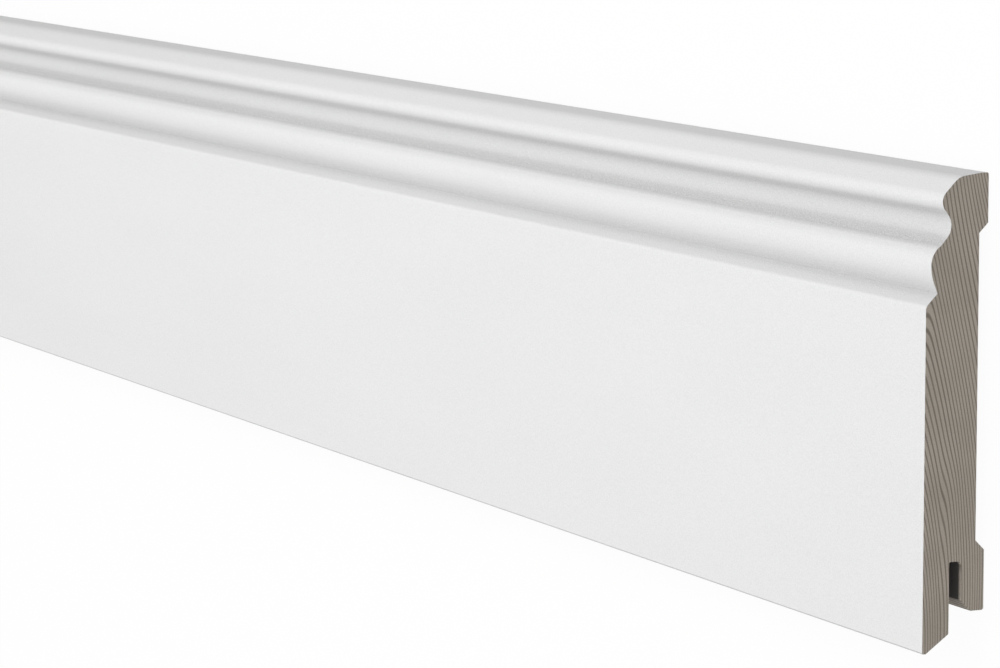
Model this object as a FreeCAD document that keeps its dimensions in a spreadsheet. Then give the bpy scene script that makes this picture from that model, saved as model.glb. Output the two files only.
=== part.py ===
"""Skirting board length: one moulded and painted timber board, lying on its back with its face up.

The board is one piece of timber, run through a four-sided moulder. Its length lies along X, its
height along Y with the moulded top at +Y, and its face looks up along +Z. The origin is on the
ground below the middle of the board. Every cut runs the whole length, so each is drawn once across
the board, on the YZ plane, and carried along X.
"""

import FreeCAD, Part
import math
import os
import re

import Sketcher

# Each size has a name, a value in millimetres or degrees, and what it measures
SIZES = (
    ("board_length", 2400, "length as sold"),
    ("board_height", 120, "from the foot to the top's back edge"),
    ("board_thickness", 17.5, "from the face to the back lands"),
    ("top_arris", 0.5, "rounding of the top's back edge"),
    ("top_flat", 2, "level part of the top, from the back"),
    ("fall_angle", 7, "how far the rest of the top falls towards the face"),
    ("top_break_radius", 4.8, "rounding where the top turns down"),
    ("top_slope", 3.6, "flat below that rounding"),
    ("nose_radius", 3.4, "rounding of the upper nose"),
    ("undercut_angle", 39, "how the undercut leans from the face"),
    ("undercut_flat", 1.2, "flat between the nose and the cove"),
    ("cove_radius", 4.5, "hollow between the nose and the bead"),
    ("bead_slope", 3.85, "flat between the cove and the bead"),
    ("shoulder_radius", 5.2, "upper half of the bead"),
    ("bead_flat", 0.5, "flat on the front of the bead"),
    ("heel_radius", 11, "lower half of the bead"),
    ("heel_angle", 21.5, "how the bead's heel leans from the face"),
    ("heel_flat", 2.85, "flat between the heel and the quirk"),
    ("bevel_angle", 45, "lean of the bevel and of both slopes"),
    ("quirk_depth", 3.2, "inner corner below the bead, behind the face"),
    ("face_edge_radius", 1.8, "rounding where the bevel meets the face"),
    ("foot_arris", 0.3, "rounding of the face's bottom edge"),
    ("foot_flat", 1, "flat that stands on the floor, from the face"),
    ("foot_bevel", 4.6, "height of the bevel behind the foot"),
    ("front_leg", 7.5, "thickness of the leg behind the face"),
    ("front_leg_arris", 0.6, "rounding where the bevel meets the leg's back"),
    ("rear_leg_lift", 10, "bottom of the rear leg above the foot"),
    ("rear_leg_arris", 0.6, "rounding of the rear leg's back edge"),
    ("slot_width", 3.5, "clip slot between the two legs"),
    ("slot_top", 22.8, "top of the clip slot above the foot"),
    ("slot_front_radius", 0.35, "slot's top corner at the front leg"),
    ("slot_back_radius", 1.3, "slot's top corner at the rear leg"),
    ("lead_in", 2.8, "bevel at the slot's mouth, each way"),
    ("channel_depth", 2.5, "cable channel in the back"),
    ("lower_land", 25.3, "top of the lower back land above the foot"),
    ("upper_land", 12.5, "height of the upper back land"),
)

VOLUME_SLACK = 1e-6  # share of a section's volume that a feature may be off by


def bound(text):
    """The expression with each size's name turned into that size's cell."""
    for name in sorted((row[0] for row in SIZES), key=len, reverse=True):
        text = re.sub(r"\b" + name + r"\b", "sizes." + name, text)
    return text


def fill_sheet(sheet):
    """Write the sizes into the sheet, each with its name as the alias of its cell."""
    for row, (name, value, meaning) in enumerate(SIZES, 1):
        sheet.set("A" + str(row), name)
        sheet.set("B" + str(row), str(value))
        sheet.set("C" + str(row), meaning)
        sheet.setAlias("B" + str(row), name)


class Outline:
    """A closed outline across the board, of straight legs between sharp or rounded corners."""

    def __init__(self, body, name):
        """Start an empty outline on the body's YZ plane."""
        self.sketch = body.newObject("Sketcher::SketchObject", name)
        planes = {plane.Role: plane for plane in body.Origin.OriginFeatures}
        self.sketch.AttachmentSupport = [(planes["YZ_Plane"], "")]
        self.sketch.MapMode = "FlatFace"
        self.corners = []

    def value(self, text):
        """The number that an expression on the sizes gives."""
        return float(self.sketch.evalExpression(bound(text)))

    def corner(self, name, across="", up="", radius="", heading="", flat="", near=None):
        """Add a corner, held by some of these expressions.

        across and up hold the corner itself, which for a rounded one is where its legs would meet.
        heading and flat hold the leg that arrives there: its angle and its straight part's length.
        near is where a corner lies that across and up don't both hold.
        """
        place = near or (self.value(across), self.value(up))
        holds = {"across": across, "up": up, "radius": radius, "heading": heading, "flat": flat}
        self.corners.append((name, FreeCAD.Vector(*place, 0), holds))

    def bind(self, name, text, *constraint):
        """Add a constraint whose value follows an expression on the sizes."""
        index = self.sketch.addConstraint(Sketcher.Constraint(*constraint))
        self.sketch.renameConstraint(index, name)
        self.sketch.setExpression("Constraints." + name, bound(text))

    def rounding(self, index, way_in, way_out):
        """How far a corner's arc reaches back along its legs, or 0 at a sharp corner."""
        radius = self.corners[index][2]["radius"]
        return self.value(radius) * math.tan(way_in.getAngle(way_out) / 2) if radius else 0

    def draw(self):
        """Draw the legs and arcs, and hold them by the corners' expressions."""
        count = len(self.corners)
        points = [point for name, point, holds in self.corners]
        ways = [(points[(i + 1) % count] - points[i]).normalize() for i in range(count)]
        backs = [self.rounding(i, ways[i - 1], ways[i]) for i in range(count)]
        starts = [points[i] + ways[i] * backs[i] for i in range(count)]
        ends = [points[i] - ways[i - 1] * backs[i] for i in range(count)]
        for i in range(count):
            self.sketch.addGeometry(Part.LineSegment(starts[i], ends[(i + 1) % count]))
        for i, (name, point, holds) in enumerate(self.corners):
            arriving = (i - 1) % count
            held = i
            if holds["radius"]:
                held = self.round_corner(i, arriving, ends[i], starts[i], ways[i - 1], ways[i])
            else:
                self.sketch.addConstraint(Sketcher.Constraint("Coincident", arriving, 2, i, 1))
            if holds["across"]:
                self.bind(name + "_across", holds["across"], "DistanceX", -1, 1, held, 1, point.x)
            if holds["up"]:
                self.bind(name + "_up", holds["up"], "DistanceY", -1, 1, held, 1, point.y)
            if holds["heading"]:
                turned = math.radians(self.value(holds["heading"]))
                self.bind(name + "_heading", holds["heading"], "Angle", arriving, turned)
            if holds["flat"]:
                self.bind(name + "_flat", holds["flat"], "Distance", arriving, self.value(holds["flat"]))
        return self.sketch

    def round_corner(self, index, arriving, start, end, way_in, way_out):
        """Join two legs by an arc that touches both, and return the point where they would meet."""
        name, point, holds = self.corners[index]
        radius = self.value(holds["radius"])
        left_turn = way_in.cross(way_out).z > 0
        aside = FreeCAD.Vector(-way_in.y, way_in.x, 0) * (radius if left_turn else -radius)
        middle = start + aside
        first, last = (start, end) if left_turn else (end, start)
        angles = [math.atan2(tip.y - middle.y, tip.x - middle.x) for tip in (first, last)]
        circle = Part.Circle(middle, FreeCAD.Vector(0, 0, 1), radius)
        arc = self.sketch.addGeometry(Part.ArcOfCircle(circle, *angles))
        arc_start, arc_end = (1, 2) if left_turn else (2, 1)
        self.sketch.addConstraint(Sketcher.Constraint("Tangent", arriving, 2, arc, arc_start))
        self.sketch.addConstraint(Sketcher.Constraint("Tangent", arc, arc_end, index, 1))
        self.bind(name + "_radius", holds["radius"], "Radius", arc, radius)
        meeting = self.sketch.addGeometry(Part.Point(point), True)
        self.sketch.addConstraint(Sketcher.Constraint("PointOnObject", meeting, 1, arriving))
        self.sketch.addConstraint(Sketcher.Constraint("PointOnObject", meeting, 1, index))
        return meeting


# The moulding from the quirk up to the top: each leg's heading from +Y, the length of its straight
# part, and the rounding at its end
MOULDING = (
    ("heel", "heel_angle", "heel_flat", "heel_radius"),
    ("bead", "0", "bead_flat", "shoulder_radius"),
    ("cove", "-bevel_angle", "bead_slope", "cove_radius"),
    ("nose", "undercut_angle", "undercut_flat", "nose_radius"),
    ("top_break", "-bevel_angle", "top_slope", "top_break_radius"),
)
TOP_HEADING = "fall_angle - 90"


def lay_moulding(section):
    """Where the quirk, the moulding's corners and the face's edge lie, as (across, up).

    The legs are laid end to end from the quirk, and the top runs on from the last one down to its
    level part. Then all are slid along Y until that part is at the board's full height.
    """
    value = section.value
    across, up = 0, value("board_thickness - quirk_depth")
    places = [(across, up)]
    headings = [math.radians(value(heading)) for name, heading, flat, radius in MOULDING]
    headings.append(math.radians(value(TOP_HEADING)))
    reach = 0
    for i, (name, heading, flat, radius) in enumerate(MOULDING):
        next_reach = value(radius) * math.tan(abs(headings[i + 1] - headings[i]) / 2)
        run = reach + value(flat) + next_reach
        across += run * math.cos(headings[i])
        up += run * math.sin(headings[i])
        places.append((across, up))
        reach = next_reach
    top_edge = across - (up - value("top_flat")) / math.tan(headings[-1])
    slide = value("board_height / 2") - top_edge
    places = [(across + slide, up) for across, up in places]
    face_edge = places[0][0] - value("quirk_depth / tan(bevel_angle * 1 deg)")
    return places, (face_edge, value("board_thickness"))


def draw_section(body):
    """The whole section but for the cuts in the back: face, moulded top, legs and foot."""
    foot = "-board_height / 2"
    rear_leg = foot + " + rear_leg_lift"
    slot_front = "board_thickness - front_leg"
    section = Outline(body, "moulded_section")
    places, face_edge = lay_moulding(section)
    section.corner("foot_front", foot, "board_thickness", "foot_arris")
    section.corner("face_edge", up="board_thickness", radius="face_edge_radius", near=face_edge)
    section.corner("quirk", up="board_thickness - quirk_depth", heading="-bevel_angle", near=places[0])
    for (name, heading, flat, radius), place in zip(MOULDING, places[1:]):
        section.corner(name, radius=radius, heading=heading, flat=flat, near=place)
    section.corner("top_edge", "board_height / 2", "top_flat", heading=TOP_HEADING)
    section.corner("top_back", "board_height / 2", "0", "top_arris")
    section.corner("rear_leg_back", rear_leg, "0", "rear_leg_arris")
    section.corner("rear_leg_front", rear_leg, slot_front)
    section.corner("front_leg_back", foot + " + foot_bevel", slot_front, "front_leg_arris")
    section.corner("foot_back", foot, "board_thickness - foot_flat")
    return section.draw()


def draw_channel(body):
    """The shallow channel for cables in the back, between the two lands, with sloping sides."""
    low = "-board_height / 2 + lower_land"
    high = "board_height / 2 - upper_land"
    channel = Outline(body, "channel_section")
    channel.corner("low_edge", low, "0")
    channel.corner("high_edge", high, "0")
    channel.corner("high_inside", high + " - channel_depth", "channel_depth")
    channel.corner("low_inside", low + " + channel_depth", "channel_depth")
    return channel.draw()


def draw_slot(body):
    """The slot between the two legs that holds the wall clips, open at the foot, with a lead-in."""
    mouth = "-board_height / 2 + rear_leg_lift"
    top = "-board_height / 2 + slot_top"
    front = "board_thickness - front_leg"
    back = front + " - slot_width"
    slot = Outline(body, "slot_section")
    slot.corner("mouth_front", mouth, front)
    slot.corner("top_front", top, front, "slot_front_radius")
    slot.corner("top_back", top, back, "slot_back_radius")
    slot.corner("lead_in_top", mouth + " + lead_in", back)
    slot.corner("lead_in_mouth", mouth, back + " - lead_in")
    return slot.draw()


def run_along(body, kind, name, sketch):
    """Carry a section along the whole board, to both sides of the YZ plane."""
    feature = body.newObject("PartDesign::" + kind, name)
    feature.Profile = sketch
    feature.SideType = "Symmetric"
    feature.Type = "Length"
    feature.setExpression("Length", bound("board_length"))
    return feature


def check_objects(doc):
    """Stop if an object failed to compute or a sketch has loose corners."""
    for item in doc.Objects:
        if "Invalid" in item.State or "Error" in item.State:
            raise RuntimeError(item.Label + " failed: " + ", ".join(item.State))
        if item.TypeId == "Sketcher::SketchObject" and not item.FullyConstrained:
            raise RuntimeError(item.Label + " has loose corners")


def check_volume(feature, before):
    """Stop unless a feature adds or takes its own section along the whole board."""
    section = Part.Face(feature.Profile[0].Shape.Wires[0])
    expected = section.Area * feature.Length.Value
    changed = abs(feature.Shape.Volume - before)
    print(feature.Label, "changes the volume by", round(changed), "of", round(expected))
    if abs(changed - expected) > VOLUME_SLACK * expected:
        raise RuntimeError(feature.Label + " doesn't run along the whole board")


def check_board(body):
    """Stop unless the board is one sound solid."""
    if body.Shape.isNull() or not body.Shape.isValid() or len(body.Shape.Solids) != 1:
        raise RuntimeError("the board is not one sound solid")


doc = FreeCAD.newDocument("skirting_board_length")
sheet = doc.addObject("Spreadsheet::Sheet", "sizes")
fill_sheet(sheet)
doc.recompute()

board = doc.addObject("PartDesign::Body", "skirting_board")
board.Label = "skirting_board"
bar = run_along(board, "Pad", "moulded_bar", draw_section(board))
channel = run_along(board, "Pocket", "cable_channel", draw_channel(board))
slot = run_along(board, "Pocket", "clip_slot", draw_slot(board))
doc.recompute()

check_objects(doc)
check_volume(bar, 0)
check_volume(channel, bar.Shape.Volume)
check_volume(slot, channel.Shape.Volume)
check_board(board)

os.makedirs("parts", exist_ok=True)
board.Shape.exportStep("parts/" + board.Label + ".step")
print("board of", round(board.Shape.Volume), "cubic millimetres in", board.Shape.BoundBox)
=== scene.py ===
"""Looks of a skirting board length: one moulded, painted timber board, lying face up in a studio.

Lengths are in millimetres where a name says so, and in metres elsewhere, in the CAD model's frame: X along
the board, Y across it from the foot to the moulded top, Z up out of its face.
"""

import logging
import math
from dataclasses import dataclass, field
from enum import Enum
from typing import Any

import bpy
from mathutils import Matrix, Vector


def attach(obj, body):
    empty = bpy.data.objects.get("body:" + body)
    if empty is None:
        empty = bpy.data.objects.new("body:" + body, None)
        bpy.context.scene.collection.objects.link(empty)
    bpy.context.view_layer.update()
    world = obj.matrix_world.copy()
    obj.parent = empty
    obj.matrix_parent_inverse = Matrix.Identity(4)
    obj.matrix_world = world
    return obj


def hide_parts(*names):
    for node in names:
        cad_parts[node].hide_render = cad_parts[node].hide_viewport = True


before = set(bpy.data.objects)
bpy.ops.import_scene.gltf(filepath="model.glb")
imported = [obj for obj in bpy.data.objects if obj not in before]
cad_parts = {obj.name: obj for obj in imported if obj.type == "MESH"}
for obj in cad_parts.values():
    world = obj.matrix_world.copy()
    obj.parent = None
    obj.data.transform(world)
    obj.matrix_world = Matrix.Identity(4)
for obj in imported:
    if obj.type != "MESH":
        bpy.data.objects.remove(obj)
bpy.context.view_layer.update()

MM = 0.001
HALF_LENGTH_MM = 1200.0
SRGB_FOOT = 0.04045
SRGB_SLOPE = 12.92
SRGB_LIFT = 0.055
SRGB_POWER = 2.4
OPENNESS = "openness"
log = logging.getLogger("skirting board")

Point = tuple[float, float]
Span = tuple[float, float]
Triple = tuple[float, float, float]
Colour = tuple[float, float, float, float]


class Finish(Enum):
    """The board's finishes, each with its place among the board's materials."""

    PAINT = 0
    PLANED = 1
    SAWN = 2


class Signal:
    """A number that varies over a surface. Sums on it in Python add Math nodes."""

    def __init__(self, bench: "Bench", socket: bpy.types.NodeSocket) -> None:
        """Wrap an output socket of one of the bench's nodes."""
        self.bench = bench
        self.socket = socket

    def math(self, operation: str, *others: "Signal | float") -> "Signal":
        """Put this signal and others through a Math node.

        Args:
            operation: what the Math node does.
            others: its further values.

        Returns:
            The node's result.
        """
        return self.bench.sum(operation, self, *others)

    def __add__(self, other: "Signal | float") -> "Signal":
        """This signal plus another."""
        return self.bench.sum("ADD", self, other)

    def __radd__(self, other: float) -> "Signal":
        """A number plus this signal."""
        return self.bench.sum("ADD", other, self)

    def __sub__(self, other: "Signal | float") -> "Signal":
        """This signal less another."""
        return self.bench.sum("SUBTRACT", self, other)

    def __rsub__(self, other: float) -> "Signal":
        """A number less this signal."""
        return self.bench.sum("SUBTRACT", other, self)

    def __mul__(self, other: "Signal | float") -> "Signal":
        """This signal times another."""
        return self.bench.sum("MULTIPLY", self, other)

    def __rmul__(self, other: float) -> "Signal":
        """A number times this signal."""
        return self.bench.sum("MULTIPLY", other, self)

    def __truediv__(self, other: "Signal | float") -> "Signal":
        """This signal over another."""
        return self.bench.sum("DIVIDE", self, other)

    def __pow__(self, other: float) -> "Signal":
        """This signal to a power."""
        return self.bench.sum("POWER", self, other)

    def fraction(self) -> "Signal":
        """What is left of this signal after its whole number."""
        return self.math("FRACT")

    def at_most(self, other: "Signal | float") -> "Signal":
        """The lower of this signal and another."""
        return self.math("MINIMUM", other)

    def at_least(self, other: "Signal | float") -> "Signal":
        """The higher of this signal and another."""
        return self.math("MAXIMUM", other)

    def between(self, low: float, high: float) -> "Signal":
        """How far this signal has risen from one value to another, from 0 to 1, with soft ends.

        Args:
            low: the value that gives 0.
            high: the value that gives 1.

        Returns:
            The rise.
        """
        settings = {"interpolation_type": "SMOOTHSTEP"}
        sockets = {"Value": self, "From Min": low, "From Max": high}
        return Signal(self.bench, self.bench.node("MapRange", settings, sockets).outputs["Result"])


class Bench:
    """Where one material's nodes are put together."""

    def __init__(self, tree: bpy.types.NodeTree, material: bpy.types.Material | None = None) -> None:
        """Clear the tree and start on it.

        Args:
            tree: where the nodes go.
            material: the material that the tree belongs to, if it is a material's.
        """
        self.tree = tree
        self.material = material
        tree.nodes.clear()

    @classmethod
    def for_material(cls, name: str) -> "Bench":
        """Start on a new material.

        Args:
            name: what it is called.

        Returns:
            The bench, with its nodes cleared.
        """
        material = bpy.data.materials.new(name)
        material.use_nodes = True
        return cls(material.node_tree, material)

    def node(self, kind: str, settings: dict[str, Any], sockets: dict[Any, Any]) -> bpy.types.Node:
        """Add a node.

        Args:
            kind: the node's type, without its ShaderNode.
            settings: its properties, which are set first.
            sockets: the values or links of its inputs, by name or number.

        Returns:
            The node.
        """
        node = self.tree.nodes.new("ShaderNode" + kind)
        for name, value in settings.items():
            setattr(node, name, value)
        for key, value in sockets.items():
            if isinstance(value, Signal):
                value = value.socket
            if isinstance(value, bpy.types.NodeSocket):
                self.tree.links.new(value, node.inputs[key])
            else:
                node.inputs[key].default_value = value
        return node

    def sum(self, operation: str, *values: "Signal | float") -> Signal:
        """Put values through a Math node.

        Args:
            operation: what the node does.
            values: its values, in order.

        Returns:
            The node's result.
        """
        node = self.node("Math", {"operation": operation}, dict(enumerate(values)))
        return Signal(self, node.outputs[0])

    def places(self) -> tuple[Signal, Signal, Signal]:
        """Where a point of the board lies.

        Returns:
            Its distances along, across and up, in millimetres.
        """
        spot = self.node("TexCoord", {}, {}).outputs["Object"]
        scaled = self.vector("SCALE", spot, {"Scale": 1 / MM})
        parts = self.node("SeparateXYZ", {}, {"Vector": scaled}).outputs
        return tuple(Signal(self, part) for part in parts)

    def openness(self) -> Signal:
        """How much of the sky a spot of the board sees past the rest of the section, from 0 to 1."""
        return Signal(self, self.node("Attribute", {"attribute_name": OPENNESS}, {}).outputs["Fac"])

    def vector(self, operation: str, first: Any, sockets: dict[Any, Any]) -> bpy.types.NodeSocket:
        """Put a vector through a Vector Math node.

        Args:
            operation: what the node does.
            first: its first vector.
            sockets: the values or links of its other inputs.

        Returns:
            The resulting vector.
        """
        return self.node("VectorMath", {"operation": operation}, {0: first, **sockets}).outputs[0]

    def joined(self, x: Any, y: Any, z: Any) -> bpy.types.NodeSocket:
        """One vector from three numbers or signals."""
        return self.node("CombineXYZ", {}, {"X": x, "Y": y, "Z": z}).outputs[0]

    def noise(self, spot: Any) -> Signal:
        """A soft random signal round 0.5, with blotches about 1 across.

        Args:
            spot: the point that it is read at.

        Returns:
            The signal.
        """
        sockets = {"Vector": spot, "Scale": 1.0, "Detail": 2.0, "Roughness": 0.5}
        node = self.node("TexNoise", {"noise_dimensions": "3D"}, sockets)
        return Signal(self, node.outputs[0])

    def streaks(self, place: tuple[Signal, Signal, Signal], reach_mm: float, pitch_mm: float) -> Signal:
        """A soft random signal round 0.5, in blotches that are drawn out along the board.

        Args:
            place: where a point lies along, across and up, in millimetres.
            reach_mm: about how long a blotch is.
            pitch_mm: about how wide it is.

        Returns:
            The signal.
        """
        along, across, up = place
        return self.noise(self.joined(along / reach_mm, across / pitch_mm, up / pitch_mm))

    def blend(self, share: Signal, first: Any, second: Any) -> bpy.types.NodeSocket:
        """Mix two colours.

        Args:
            share: how much of the second colour there is.
            first: the first colour or its link.
            second: the second colour or its link.

        Returns:
            The mixed colour.
        """
        # a Mix node's colours are its inputs 6 and 7 and its output 2
        node = self.node("Mix", {"data_type": "RGBA"}, {0: share, 6: first, 7: second})
        return node.outputs[2]

    def bump(self, height_mm: Signal) -> bpy.types.NodeSocket:
        """The surface's normal with a relief on it, whose height is given in millimetres."""
        sockets = {"Strength": 1.0, "Distance": MM, "Height": height_mm}
        return self.node("Bump", {}, sockets).outputs[0]

    def surface(self, shader: bpy.types.Node) -> bpy.types.Material:
        """End the material with this shader, and return it."""
        self.node("OutputMaterial", {}, {"Surface": shader.outputs[0]})
        return self.material


def grey(level: float) -> Colour:
    """A neutral colour, from its level on a screen, from 0 to 255."""
    return screen_colour(level, level, level)


def screen_colour(red: float, green: float, blue: float) -> Colour:
    """A colour as shaders count light, from the levels it has on a screen, by the sRGB curve.

    Args:
        red: the red level, from 0 to 255.
        green: the green level.
        blue: the blue level.

    Returns:
        Red, green, blue and a full alpha, in linear light.
    """
    levels = [level / 255 for level in (red, green, blue)]
    light = [
        x / SRGB_SLOPE if x < SRGB_FOOT else ((x + SRGB_LIFT) / (1 + SRGB_LIFT)) ** SRGB_POWER
        for x in levels
    ]
    return (*light, 1.0)


@dataclass(frozen=True)
class SatinPaint:
    """White paint, sprayed on planed timber and left with a low sheen.

    Shade is painted into its colour in the hollows, in the shoulder's crease and along the foot's edge. The
    places of the crease and the foot's edge are given across the board, from its middle.
    """

    colour: Colour = screen_colour(242, 242, 242)
    thin_colour: Colour = screen_colour(230, 230, 230)
    thin_range: Span = (0.25, 0.75)
    # painted shade: the grey that stands in for the shade in the hollows, the shoulder's crease and along the
    # foot's edge
    hollow_shade_colour: Colour = screen_colour(184, 184, 184)
    shade_mottle: float = 3.0
    crease_shade_share: float = 0.45
    crease_start_mm: float = 41.7
    crease_low_mm: float = 42.7
    crease_end_mm: float = 45.2
    foot_edge_shade_share: float = 0.75
    foot_edge_start_mm: float = -59.5
    foot_edge_full_mm: float = -59.75
    roughness: float = 0.6
    roughness_by_clouds: float = 0.08
    roughness_by_stipple: float = 0.06
    gloss_level: float = 0.25
    stipple_pitch_mm: float = 0.3
    stipple_height_mm: float = 0.006
    peel_pitch_mm: float = 2.4
    peel_height_mm: float = 0.006
    grain_reach_mm: float = 60.0
    grain_pitch_mm: float = 0.6
    grain_height_mm: float = 0.002
    cloud_reach_mm: float = 110.0
    cloud_pitch_mm: float = 28.0
    cloud_share: float = 0.1

    def material(self) -> bpy.types.Material:
        """Put the paint together.

        Returns:
            The material.
        """
        bench = Bench.for_material("satin white paint")
        place = bench.places()
        stipple = bench.streaks(place, self.stipple_pitch_mm, self.stipple_pitch_mm)
        peel = bench.streaks(place, self.peel_pitch_mm, self.peel_pitch_mm)
        grain = bench.streaks(place, self.grain_reach_mm, self.grain_pitch_mm)
        clouds = bench.streaks(place, self.cloud_reach_mm, self.cloud_pitch_mm) - 0.5
        relief = stipple * self.stipple_height_mm + peel * self.peel_height_mm
        relief = relief + grain * self.grain_height_mm
        thin = (stipple + clouds * self.cloud_share).between(*self.thin_range)
        coat = bench.blend(thin, self.colour, self.thin_colour)
        speckle = stipple - 0.5
        roughness = self.roughness + clouds * self.roughness_by_clouds + speckle * self.roughness_by_stipple
        # painted shade: the grey of the hollows, the crease and the foot's edge is mixed into the paint's
        # colour
        shader = bench.node("BsdfPrincipled", {}, {
            "Base Color": bench.blend(self.paint_shade_share(bench, place[1], speckle), coat, self.hollow_shade_colour),
            "Roughness": roughness,
            "Specular IOR Level": self.gloss_level,
            "Normal": bench.bump(relief),
        })
        return bench.surface(shader)

    def paint_shade_share(self, bench: Bench, across: Signal, speckle: Signal) -> Signal:
        """How much painted shade greys the paint: in the hollows, in the shoulder's crease and along the
        foot's edge, with a fine mottle.

        Args:
            bench: where the material is put together.
            across: where a point lies across the board, in millimetres.
            speckle: the fine mottle, round 0.

        Returns:
            The share of the painted shade's grey, from 0 to 1.
        """
        crease = across.between(self.crease_start_mm, self.crease_low_mm)
        crease = crease * (1 - across.between(self.crease_low_mm, self.crease_end_mm))
        foot_edge = across.between(self.foot_edge_start_mm, self.foot_edge_full_mm) * self.foot_edge_shade_share
        hollow = (1 - bench.openness()) + crease * self.crease_shade_share
        return (hollow * (speckle * self.shade_mottle + 1) + foot_edge).at_most(1.0)


@dataclass(frozen=True)
class GrowthRings:
    """How the log's growth rings run through the board.

    Their count rises with the height above the foot and with the depth behind the face. The straight,
    bowed and twice bowed part of each rise is given in rings, for half the board's height or 10 mm of depth.
    """

    start: float = -1.665
    rise: Triple = (14.719, 3.722, -3.466)
    sink: Triple = (11.608, 1.262, -1.084)
    fan: Triple = (-1.528, 1.717, -1.828)
    half_height_mm: float = 60.0
    middle_up_mm: float = 9.5
    depth_mm: float = 10.0
    slow_years: float = 44.0
    slow_swing: float = 1.817
    slow_turn: float = 2.68
    dry_years: float = 22.0
    dry_swing: float = 0.696
    dry_turn: float = -0.87
    first: float = 0.937
    taper_rings: float = 1.7
    wander_rings: float = 3.4
    wander_reach_mm: float = 420.0
    wander_pitch_mm: float = 260.0
    wander_full_m: float = 0.6
    waver_rings: float = 0.1
    waver_reach_mm: float = 70.0
    waver_pitch_mm: float = 7.0
    bulge_rings: float = 0.97
    bulge_front_mm: Span = (13.3, 10.5)
    bulge_back_mm: Span = (5.5, 9.5)
    bulge_foot_mm: Span = (-4.0, -24.0)
    hook_rings: float = 0.143
    hook_up_mm: float = 14.7
    hook_across_mm: Span = (11.0, 28.5)

    def count(self, bench: Bench) -> Signal:
        """How many rings have passed at a point of the board.

        Args:
            bench: where the material is put together.

        Returns:
            The number of rings, with its fraction.
        """
        place = bench.places()
        along, across, up = place
        even = self.even_count(across, up)
        slow = (even * (math.tau / self.slow_years) + self.slow_turn).math("SINE") * self.slow_swing
        dry = (even * (math.tau / self.dry_years) + self.dry_turn).math("SINE") * self.dry_swing
        away = (HALF_LENGTH_MM - along) * MM
        heart = bench.streaks(place, self.wander_reach_mm, self.wander_pitch_mm) - 0.5
        waver = bench.streaks(place, self.waver_reach_mm, self.waver_pitch_mm) - 0.5
        drift = away * self.taper_rings + away.at_most(self.wander_full_m) * heart * self.wander_rings
        bulge = up.between(*self.bulge_front_mm) * up.between(*self.bulge_back_mm)
        bulge = bulge * across.between(*self.bulge_foot_mm) * self.bulge_rings
        hook = (up - self.hook_up_mm).at_least(0.0) ** 2
        hook = hook * across.between(*self.hook_across_mm) * self.hook_rings
        return even + slow + dry + drift - bulge + hook + waver * self.waver_rings + self.first

    def even_count(self, across: Signal, up: Signal) -> Signal:
        """The count before its swings.

        Args:
            across: where a point lies across the board, in millimetres.
            up: where it lies up out of the back, in millimetres.

        Returns:
            The number of rings, with its fraction.
        """
        high = across / self.half_height_mm
        deep = (self.middle_up_mm - up) / self.depth_mm
        rise = ((high * self.rise[2] + self.rise[1]) * high + self.rise[0]) * high
        sink = ((deep * self.sink[2] + self.sink[1]) * deep + self.sink[0]) * deep
        fan = (high * self.fan[1] + deep * self.fan[2] + self.fan[0]) * high * deep
        return rise + sink + fan + self.start


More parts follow.
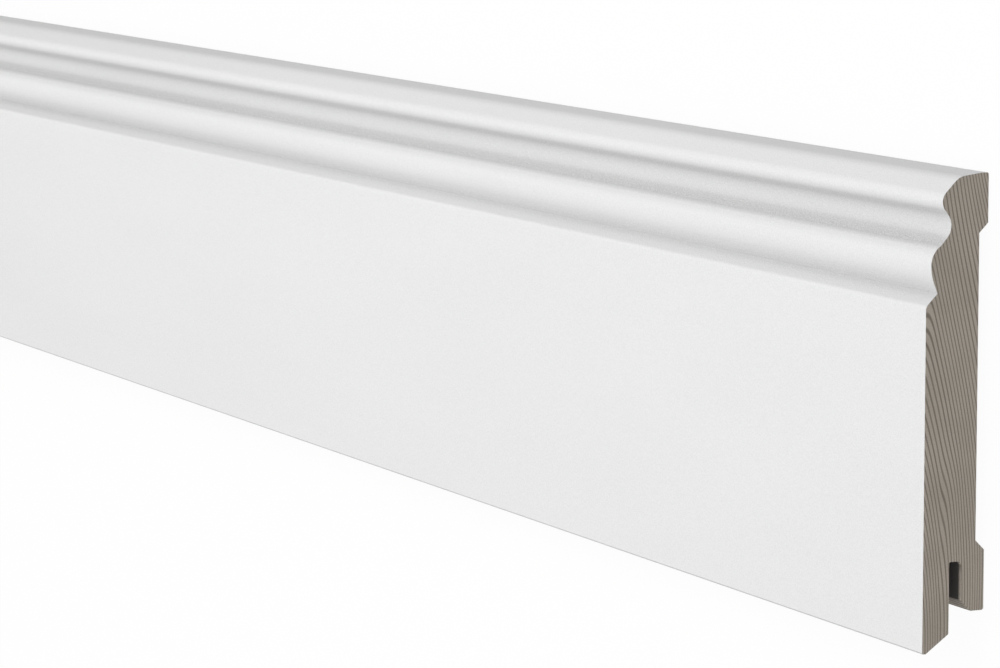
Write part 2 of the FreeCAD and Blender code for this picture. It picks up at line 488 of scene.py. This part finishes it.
@dataclass(frozen=True)
class BareTimber:
    """Bare softwood, planed along the board or sawn across it.

    The slot's spans say over which millimetres its painted shade starts: inwards from either end, up from the
    back, and across from the mouth.
    """

    name: str
    cut: Finish
    rings: GrowthRings = field(default_factory=GrowthRings)
    early: Colour = screen_colour(183, 174, 163)
    early_dark: Colour = screen_colour(174, 165, 154)
    late: Colour = screen_colour(125, 118, 108)
    fleck: Colour = screen_colour(127, 119, 109)
    # painted shade: the dark grey that stands in for the shade on the clip slot's walls
    slot_shade_colour: Colour = screen_colour(104, 101, 99)
    roughness: float = 0.78
    late_sheen: float = 0.08
    gloss_level: float = 0.2
    line_span: Span = (0.27, 0.06)
    year_stride: float = 7.31
    year_least: float = 0.6
    year_share: float = 0.7
    fibre_least: float = 0.6
    fibre_share: float = 0.8
    fibre_reach_mm: float = 28.0
    fibre_pitch_mm: float = 0.24
    fibre_height_mm: float = 0.012
    fleck_range: Span = (0.45, 0.75)
    fleck_share: float = 0.4
    tone_reach_mm: float = 300.0
    tone_pitch_mm: float = 16.0
    tone_range: Span = (0.3, 0.7)
    slot_inward_mm: Span = (0.9, 1.4)
    slot_back_mm: Span = (6.44, 6.48)
    slot_front_mm: Span = (10.02, 10.06)
    slot_mouth_mm: Span = (-50.0, -46.5)
    slot_top_mm: Span = (-37.16, -37.12)
    knife_pitch_mm: float = 1.9
    knife_height_mm: float = 0.0012
    scratch_reach_mm: float = 30.0
    scratch_pitch_mm: float = 0.3
    scratch_slant: float = 0.06
    scratch_height_mm: float = 0.006

    @classmethod
    def planed(cls) -> "BareTimber":
        """Timber planed along the grain, which is paler than its ends.

        Returns:
            The finish.
        """
        return cls(
            "planed timber",
            Finish.PLANED,
            early=screen_colour(215, 205, 192),
            early_dark=screen_colour(205, 194, 181),
            late=screen_colour(150, 142, 130),
            fleck=screen_colour(152, 143, 131),
        )

    def material(self) -> bpy.types.Material:
        """Put the timber together.

        Returns:
            The material.
        """
        bench = Bench.for_material(self.name)
        place = bench.places()
        count = self.rings.count(bench)
        part = count.fraction()
        year = bench.noise(bench.joined((count - part) * self.year_stride, 0.5, 0.5))
        fibre = bench.streaks(place, self.fibre_reach_mm, self.fibre_pitch_mm)
        late = (part - 0.5).math("ABSOLUTE").between(*self.line_span)
        late = late * (year * self.year_share + self.year_least)
        late = late * (fibre * self.fibre_share + self.fibre_least)
        tone = bench.streaks(place, self.tone_reach_mm, self.tone_pitch_mm)
        ground = bench.blend(tone.between(*self.tone_range), self.early, self.early_dark)
        ringed = bench.blend(late.at_most(1.0), ground, self.late)
        flecks = fibre.between(*self.fleck_range) * self.fleck_share
        bare = bench.blend(flecks, ringed, self.fleck)
        relief = fibre * self.fibre_height_mm + self.cutter_marks(bench)
        # painted shade: the clip slot's walls turn to dark grey
        shader = bench.node("BsdfPrincipled", {}, {
            "Base Color": bench.blend(self.slot_shade_share(bench), bare, self.slot_shade_colour),
            "Roughness": self.roughness - late * self.late_sheen,
            "Specular IOR Level": self.gloss_level,
            "Normal": bench.bump(relief),
        })
        return bench.surface(shader)

    def slot_shade_share(self, bench: Bench) -> Signal:
        """Where shade is painted on the clip slot's walls, standing in for the slot's own shade.

        Args:
            bench: where the material is put together.

        Returns:
            1 on the walls of the clip slot, and 0 outside it and at its ends.
        """
        along, across, up = bench.places()
        inward = (HALF_LENGTH_MM - along.math("ABSOLUTE")).between(*self.slot_inward_mm)
        between_legs = up.between(*self.slot_back_mm) * (1 - up.between(*self.slot_front_mm))
        below_top = across.between(*self.slot_mouth_mm) * (1 - across.between(*self.slot_top_mm))
        return inward * between_legs * below_top

    def cutter_marks(self, bench: Bench) -> Signal:
        """The relief that the cutter leaves: a planer's ripple or a saw's scratches.

        Args:
            bench: where the material is put together.

        Returns:
            Its height, in millimetres.
        """
        along, across, up = bench.places()
        if self.cut is Finish.PLANED:
            return (along * (math.tau / self.knife_pitch_mm)).math("SINE") * self.knife_height_mm
        slanted = (up + across * self.scratch_slant) / self.scratch_pitch_mm
        scratches = bench.noise(bench.joined(0.0, across / self.scratch_reach_mm, slanted))
        return scratches * self.scratch_height_mm


@dataclass(frozen=True)
class Corner:
    """Where two legs of the section's outline meet."""

    across: float
    up: float
    radius: float = 0.0
    finish: Finish = Finish.PLANED


@dataclass(frozen=True)
class OutlinePoint:
    """A point of the section's outline, with the outward normals on its two sides."""

    place: Point
    normal_before: Point
    normal_after: Point
    finish: Finish


@dataclass
class BoardSection:
    """The board's section, in millimetres across (Y) and up (Z), as the moulder cuts it."""

    height: float = 120.0
    thickness: float = 17.5
    top_arris: float = 0.5
    top_flat: float = 2.0
    fall_angle: float = 7.0
    quirk_depth: float = 3.2
    bevel_angle: float = 45.0
    face_edge_radius: float = 1.8
    foot_arris: float = 0.3
    foot_flat: float = 1.0
    foot_bevel: float = 4.6
    front_leg: float = 7.5
    leg_arris: float = 0.6
    rear_leg_lift: float = 10.0
    slot_width: float = 3.5
    slot_top: float = 22.8
    slot_front_radius: float = 0.35
    slot_back_radius: float = 1.3
    lead_in: float = 2.8
    channel_depth: float = 2.5
    lower_land: float = 25.3
    upper_land: float = 12.5
    arc_step: float = 4.0
    leg_step: float = 1.0
    least_rise: float = 0.01
    least_gap: float = 0.001
    moulding: tuple[Triple, ...] = (
        # heading of the leg, its straight part, the rounding at its end
        (21.5, 2.85, 11.0),
        (0.0, 0.5, 5.2),
        (-36.0, 0.538, 3.0),
        (-54.0, 0.9, 2.0),
        (-41.0, 2.172, 4.5),
        (39.0, 1.2, 3.4),
        (-45.0, 3.6, 4.8),
    )

    def moulded_corners(self) -> list[Corner]:
        """Lay the moulded top leg by leg.

        Returns:
            The corners from the face's edge up to the top's level part.
        """
        across, up = 0.0, self.thickness - self.quirk_depth
        walked = [(across, up, 0.0)]
        headings = [math.radians(leg[0]) for leg in self.moulding]
        headings.append(math.radians(self.fall_angle - 90))
        reach = 0.0
        for i, (_, flat, radius) in enumerate(self.moulding):
            next_reach = radius * math.tan(abs(headings[i + 1] - headings[i]) / 2)
            run = reach + flat + next_reach
            across += run * math.cos(headings[i])
            up += run * math.sin(headings[i])
            walked.append((across, up, radius))
            reach = next_reach
        slide = self.height / 2 - (across - (up - self.top_flat) / math.tan(headings[-1]))
        corners = [Corner(a + slide, u, r, Finish.PAINT) for a, u, r in walked]
        edge = corners[0].across - self.quirk_depth / math.tan(math.radians(self.bevel_angle))
        return [Corner(edge, self.thickness, self.face_edge_radius, Finish.PAINT), *corners]

    def corners(self) -> list[Corner]:
        """Lay the whole section.

        Returns:
            Every corner, from the foot's front over the top and back down.
        """
        half = self.height / 2
        mouth = self.rear_leg_lift - half
        slot_top = self.slot_top - half
        slot_front = self.thickness - self.front_leg
        slot_back = slot_front - self.slot_width
        low, high = self.lower_land - half, half - self.upper_land
        depth = self.channel_depth
        return [
            Corner(-half, self.thickness, self.foot_arris, Finish.PAINT),
            *self.moulded_corners(),
            Corner(half, self.top_flat, 0.0, Finish.PAINT),
            Corner(half, 0.0, self.top_arris),
            Corner(high, 0.0),
            Corner(high - depth, depth),
            Corner(low + depth, depth),
            Corner(low, 0.0),
            Corner(mouth, 0.0, self.leg_arris),
            Corner(mouth, slot_back - self.lead_in),
            Corner(mouth + self.lead_in, slot_back),
            Corner(slot_top, slot_back, self.slot_back_radius),
            Corner(slot_top, slot_front, self.slot_front_radius),
            Corner(self.foot_bevel - half, slot_front, self.leg_arris),
            Corner(-half, self.thickness - self.foot_flat),
        ]

    def outline(self) -> list[OutlinePoint]:
        """Divide the section's roundings and painted legs into short steps.

        Returns:
            The outline's points in order.
        """
        corners = self.corners()
        points = []
        for i, corner in enumerate(corners):
            before, after = corners[i - 1], corners[(i + 1) % len(corners)]
            rounding = self.rounded(before, corner, after)
            if points and points[-1].finish is Finish.PAINT:
                points += self.along_leg(points[-1], rounding[0])
            points += rounding
        return points

    def along_leg(self, start: OutlinePoint, end: OutlinePoint) -> list[OutlinePoint]:
        """The points that divide a straight leg into short steps, without its two ends.

        Args:
            start: the point that the leg leaves.
            end: the point that it comes to.

        Returns:
            The points between them.
        """
        first, last = Vector(start.place), Vector(end.place)
        normal = start.normal_after
        steps = math.ceil((last - first).length / self.leg_step)
        places = [first.lerp(last, step / steps) for step in range(1, steps)]
        return [OutlinePoint(tuple(place), normal, normal, start.finish) for place in places]

    def openness(self, outline: list[OutlinePoint]) -> list[float]:
        """How much of the sky each point of the outline sees past the others, from 0 to 1.

        Args:
            outline: the section's points.

        Returns:
            A share for each point, where 1 is a point that nothing stands above.
        """
        places = [Vector(point.place) for point in outline]
        shares = []
        for point, here in zip(outline, places):
            normal = (Vector(point.normal_before) + Vector(point.normal_after)).normalized()
            ways = [(there - here).normalized() for there in places if (there - here).length > self.least_gap]
            leans = [way.cross(normal) for way in ways if way.dot(normal) > self.least_rise]
            right = min((lean for lean in leans if lean > 0), default=1.0)
            left = min((-lean for lean in leans if lean < 0), default=1.0)
            shares.append((left + right) / 2)
        return shares

    def rounded(self, before: Corner, corner: Corner, after: Corner) -> list[OutlinePoint]:
        """The outline's points at one corner.

        Args:
            before: the corner that the outline comes from.
            corner: the corner itself.
            after: the corner that it goes on to.

        Returns:
            One point where the corner is sharp, and an arc's points where it is rounded.
        """
        here = Vector((corner.across, corner.up))
        way_in = (here - Vector((before.across, before.up))).normalized()
        way_out = (Vector((after.across, after.up)) - here).normalized()
        normals = [Vector((-way.y, way.x)) for way in (way_in, way_out)]
        turn = way_in.angle_signed(way_out)
        if not corner.radius:
            return [OutlinePoint(tuple(here), tuple(normals[0]), tuple(normals[1]), corner.finish)]
        reach = corner.radius * math.tan(abs(turn) / 2)
        start = here - way_in * reach
        side = 1 if turn > 0 else -1
        middle = start - normals[0] * corner.radius * side
        steps = max(2, math.ceil(abs(math.degrees(turn)) / self.arc_step))
        points = []
        for step in range(steps + 1):
            angle = -turn * step / steps
            normal = Matrix.Rotation(angle, 2) @ normals[0]
            place = middle + normal * corner.radius * side
            points.append(OutlinePoint(tuple(place), tuple(normal), tuple(normal), corner.finish))
        return points


@dataclass
class SkirtingBoard:
    """The board: its section carried along its length, painted in front and bare elsewhere."""

    section: BoardSection = field(default_factory=BoardSection)
    length_mm: float = 2 * HALF_LENGTH_MM
    bays: int = 12
    node: str = "skirting_board"
    sheet_margin: float = 0.02
    sheet_strips: float = 0.65
    sheet_ends: float = 0.7
    sheet_end_step: float = 0.15

    def build(self) -> bpy.types.Object:
        """Make the board, dress it and tie it to the CAD model.

        Returns:
            The board.
        """
        outline = self.section.outline()
        mesh = self.carried_along(outline)
        self.set_normals(mesh, outline)
        self.lay_out_flat(mesh, outline)
        # the section's openness, from which the paint greys its hollows as painted shade
        openness = mesh.attributes.new(OPENNESS, "FLOAT", "POINT")
        openness.data.foreach_set("value", self.section.openness(outline) * (self.bays + 1))
        mesh.validate()
        board = bpy.data.objects.new("board", mesh)
        bpy.context.scene.collection.objects.link(board)
        self.dress(board)
        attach(board, "root")
        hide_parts(self.node)
        return board

    def carried_along(self, outline: list[OutlinePoint]) -> bpy.types.Mesh:
        """Carry the section along the board, bay by bay, and close both ends.

        Args:
            outline: the section's points.

        Returns:
            The mesh, with its bays first and its two ends last.
        """
        mesh = bpy.data.meshes.new(self.node)
        count = len(outline)
        rings = self.bays + 1
        vertices = [self.place(point, ring) for ring in range(rings) for point in outline]
        faces, finishes = [], []
        for ring in range(self.bays):
            for i, point in enumerate(outline):
                j = (i + 1) % count
                low, high = ring * count, (ring + 1) * count
                faces.append((low + i, high + i, high + j, low + j))
                finishes.append(point.finish)
        faces.append(tuple(range(count)))
        faces.append(tuple(reversed(range(self.bays * count, rings * count))))
        finishes += [Finish.SAWN, Finish.SAWN]
        mesh.from_pydata(vertices, [], faces)
        for polygon, finish in zip(mesh.polygons, finishes):
            polygon.material_index = finish.value
            polygon.use_smooth = finish is not Finish.SAWN
        return mesh

    def place(self, point: OutlinePoint, ring: int) -> Triple:
        """Where a point of the outline lies on one of the rings along the board, in metres."""
        along = (ring / self.bays - 0.5) * self.length_mm
        return along * MM, point.place[0] * MM, point.place[1] * MM

    def set_normals(self, mesh: bpy.types.Mesh, outline: list[OutlinePoint]) -> None:
        """Give every face corner the normal that the moulder's cut has there.

        Args:
            mesh: the board's mesh, with its bays first and its two ends last.
            outline: the section's points.
        """
        count = len(outline)
        normals = []
        for polygon in mesh.polygons:
            if polygon.material_index == Finish.SAWN.value:
                normals += [tuple(polygon.normal)] * polygon.loop_total
                continue
            i = polygon.index % count
            first = (0.0, *outline[i].normal_after)
            last = (0.0, *outline[(i + 1) % count].normal_before)
            normals += [first, first, last, last]
        mesh.normals_split_custom_set(normals)

    def lay_out_flat(self, mesh: bpy.types.Mesh, outline: list[OutlinePoint]) -> None:
        """Lay the board's faces side by side on a square sheet, so that its colours can be baked onto it.

        Both ends lie at the sheet's top, as large as they go. The long faces lie below, squeezed in length.

        Args:
            mesh: the board's mesh, with its bays first and its two ends last.
            outline: the section's points.
        """
        sheet = mesh.uv_layers.new(name="OFBake").data
        places = [Vector(point.place) for point in outline]
        steps = [(b - a).length for a, b in zip(places, places[1:] + places[:1])]
        scale = self.sheet_strips / sum(steps)
        rows = [self.sheet_margin + scale * sum(steps[:i]) for i in range(len(steps) + 1)]
        bay = (1 - 2 * self.sheet_margin) / self.bays
        end_scale = (1 - 2 * self.sheet_margin) / self.section.height
        for polygon in mesh.polygons:
            ring, i = divmod(polygon.index, len(outline))
            left = self.sheet_margin + ring * bay
            spots = [(left, rows[i]), (left + bay, rows[i]), (left + bay, rows[i + 1]), (left, rows[i + 1])]
            if ring == self.bays:
                first = i == 0
                order = places if first else list(reversed(places))
                low = self.sheet_ends if first else self.sheet_ends + self.sheet_end_step
                spots = [(0.5 + spot.x * end_scale, low + spot.y * end_scale) for spot in order]
            for loop, spot in zip(polygon.loop_indices, spots):
                sheet[loop].uv = spot

    def dress(self, board: bpy.types.Object) -> None:
        """Give the board its materials, in the order of the finishes."""
        for finish in (SatinPaint(), BareTimber.planed(), BareTimber("sawn end", Finish.SAWN)):
            board.data.materials.append(finish.material())


@dataclass(frozen=True)
class Softbox:
    """A soft oblong lamp, with what it is aimed at and how wide it throws its light, in degrees."""

    name: str
    place: Triple
    width: float
    depth: float
    power: float
    aim: Triple
    spread: float = 180.0

    def hang(self) -> bpy.types.Object:
        """Hang the lamp, unseen by the camera.

        Returns:
            The lamp.
        """
        data = bpy.data.lights.new(self.name, "AREA")
        data.shape = "RECTANGLE"
        data.size, data.size_y = self.width, self.depth
        data.energy = self.power
        data.spread = math.radians(self.spread)
        lamp = bpy.data.objects.new(self.name, data)
        lamp.location = self.place
        ray = Vector(self.aim) - Vector(self.place)
        lamp.rotation_euler = ray.to_track_quat("-Z", "Y").to_euler()
        lamp.visible_camera = False
        bpy.context.scene.collection.objects.link(lamp)
        return lamp


@dataclass
class Studio:
    """The white studio: a lit paper floor, soft lamps and the light from all round."""

    floor_size: float = 60.0
    paper: Colour = grey(249)
    glow_share: float = 0.96
    floor_light: float = 0.16
    surround: float = 0.53
    lamps: tuple[Softbox, ...] = (
        # name, place, width, depth, power, what it is aimed at, spread
        Softbox("over the near half", (1.02, 0.6, 1.039), 0.95, 0.4, 5.0, (1.02, 0.0, 0.0)),
        Softbox("over the middle", (-0.05, 0.6, 1.039), 0.5, 0.4, 0.045, (-0.05, 0.0, 0.0), 34.0),
        Softbox("over the far half", (-0.9, 0.6, 1.039), 0.95, 0.4, 1.3, (-0.9, 0.0, 0.0), 90.0),
        Softbox("by the foot, near", (0.95, -1.315, 2.472), 1.6, 0.8, 5.8, (0.95, 0.0, 0.0)),
        Softbox("by the foot, far", (-0.95, -1.315, 2.472), 1.6, 0.8, 5.8, (-0.95, 0.0, 0.0)),
        Softbox("low by the top", (0.0, 2.8, 0.3), 3.4, 0.4, 5.9, (0.0, 0.0, 0.0)),
        Softbox("beyond the near end", (3.6, 0.0, 0.5), 1.2, 0.5, 19.0, (1.2, 0.0, 0.0)),
        Softbox("beyond the far end", (-3.6, 0.0, 0.5), 1.2, 0.5, 19.0, (-1.2, 0.0, 0.0)),
    )

    def build(self) -> None:
        """Lay the floor, hang the lamps and light the surround."""
        self.lay_floor()
        for lamp in self.lamps:
            lamp.hang()
        self.light_surround()

    def lay_floor(self) -> None:
        """Lay the paper floor, which lights the board, shows as white and keeps the board's shadow."""
        half = self.floor_size / 2
        corners = [(-half, -half, 0), (half, -half, 0), (half, half, 0), (-half, half, 0)]
        mesh = bpy.data.meshes.new("paper floor")
        mesh.from_pydata(corners, [], [(0, 1, 2, 3)])
        floor = bpy.data.objects.new("paper_floor", mesh)
        bpy.context.scene.collection.objects.link(floor)
        bench = Bench.for_material("paper")
        paper = bench.node("BsdfDiffuse", {}, {"Color": self.paper})
        glow = bench.node("Emission", {}, {"Color": grey(255), "Strength": 1.0})
        lit = bench.node("Emission", {}, {"Color": grey(255), "Strength": self.floor_light})
        shown = {0: self.glow_share, 1: paper.outputs[0], 2: glow.outputs[0]}
        shown = bench.node("MixShader", {}, shown).outputs[0]
        sockets = {0: self.seen_rays(bench), 1: lit.outputs[0], 2: shown}
        mesh.materials.append(bench.surface(bench.node("MixShader", {}, sockets)))

    def seen_rays(self, bench: Bench) -> Signal:
        """Tell the rays by which the camera sees the studio from the light.

        Args:
            bench: where the material is put together.

        Returns:
            1 for rays that come straight from the camera or by way of a gloss, and 0 for the others.
        """
        rays = bench.node("LightPath", {}, {}).outputs
        straight, gloss, through = (
            Signal(bench, rays[name])
            for name in ("Is Camera Ray", "Is Glossy Ray", "Is Transmission Ray")
        )
        return straight.at_least(gloss).at_least(through)

    def light_surround(self) -> None:
        """Light the board a little from all round, with white behind it for the camera."""
        world = bpy.data.worlds.new("surround")
        world.use_nodes = True
        bpy.context.scene.world = world
        bench = Bench(world.node_tree)
        seen = self.seen_rays(bench)
        dim = bench.node("Background", {}, {"Color": grey(255), "Strength": self.surround})
        white = bench.node("Background", {}, {"Color": grey(255), "Strength": 1.0})
        mixed = bench.node("MixShader", {}, {0: seen, 1: dim.outputs[0], 2: white.outputs[0]})
        bench.node("OutputWorld", {}, {"Surface": mixed.outputs[0]})


@dataclass
class PhotoCamera:
    """The camera where the photographer's stood, seen from the board as it lies here."""

    place: Triple = (2.19985, 0.16591, 0.60303)
    right: Triple = (0.42489, 0.0, -0.90525)
    up: Triple = (-0.11313, 0.99216, -0.05310)
    back: Triple = (0.89815, 0.12497, 0.42156)
    focal_pixels: float = 4706.0
    image_width: int = 1000
    sensor_width: float = 36.0
    nearest: float = 0.01
    farthest: float = 200.0

    def build(self) -> bpy.types.Object:
        """Put the camera in the scene.

        Returns:
            The camera.
        """
        data = bpy.data.cameras.new("photo camera")
        data.sensor_fit = "HORIZONTAL"
        data.sensor_width = self.sensor_width
        data.lens = self.focal_pixels / self.image_width * self.sensor_width
        data.clip_start, data.clip_end = self.nearest, self.farthest
        camera = bpy.data.objects.new("photo camera", data)
        axes = Matrix((self.right, self.up, self.back)).transposed()
        camera.matrix_world = Matrix.Translation(self.place) @ axes.to_4x4()
        bpy.context.scene.collection.objects.link(camera)
        bpy.context.scene.camera = camera
        return camera


def main() -> None:
    """Build the board, the studio and the camera."""
    logging.basicConfig(level=logging.INFO, format="%(name)s: %(message)s")
    bpy.context.scene.view_settings.view_transform = "Standard"
    bpy.context.scene.cycles.diffuse_bounces = 0
    board = SkirtingBoard().build()
    log.info("board: %d faces", len(board.data.polygons))
    Studio().build()
    log.info("studio: floor, lamps and surround")
    PhotoCamera().build()
    log.info("camera in place")


if __name__ == "__main__":
    main()
